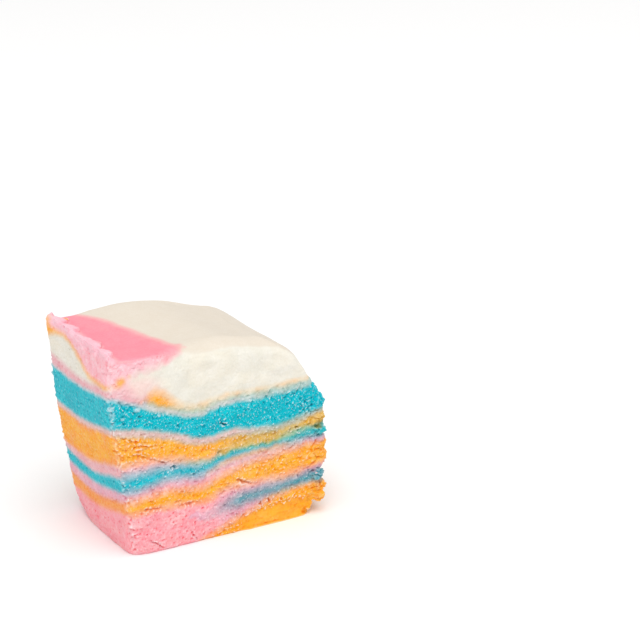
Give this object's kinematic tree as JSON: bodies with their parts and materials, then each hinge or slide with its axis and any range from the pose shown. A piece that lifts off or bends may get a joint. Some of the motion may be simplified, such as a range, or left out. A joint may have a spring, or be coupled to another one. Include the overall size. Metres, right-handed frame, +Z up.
{
  "type": "nougat slice",
  "caption": "Thick cut slice of soft swirled nougat with pink, white, turquoise and orange layers, a smooth poured top, crumbly cut faces and a torn end.",
  "frame": {"origin": "centre of the bounding box of the slice, on the flat face that it rests on", "axes": "+X along the long crumbly front towards the torn end, +Y through the thickness away from that front, +Z up towards the smooth poured top"},
  "size_m": [0.0448, 0.0264, 0.0388],
  "materials": {
    "pink_candy": "soft pink sugar candy, crumbly where cut, satin smooth where poured",
    "mauve_candy": "dull pink sugar candy tinted by its turquoise neighbours, crumbly",
    "white_candy": "ivory sugar candy, satin smooth on top and finely grained where cut",
    "orange_candy": "yellow-orange sugar candy, coarse crumb with small open cracks",
    "turquoise_candy": "bright turquoise sugar candy speckled with pale sugar grains",
    "teal_candy": "grey-blue streak where turquoise was folded into pink, crumbly"
  },
  "bodies": {
    "root": {"orange_base": "orange_candy", "pink_base": "pink_candy", "turquoise_streak": "teal_candy", "orange_lower": "orange_candy", "pink_middle": "pink_candy", "turquoise_middle": "turquoise_candy", "pink_upper": "mauve_candy", "orange_upper": "orange_candy", "turquoise_upper": "turquoise_candy", "orange_seam": "orange_candy", "mauve_seam": "mauve_candy", "white_top": "white_candy", "orange_vein": "orange_candy", "pink_top": "pink_candy"}
  },
  "joints": []
}
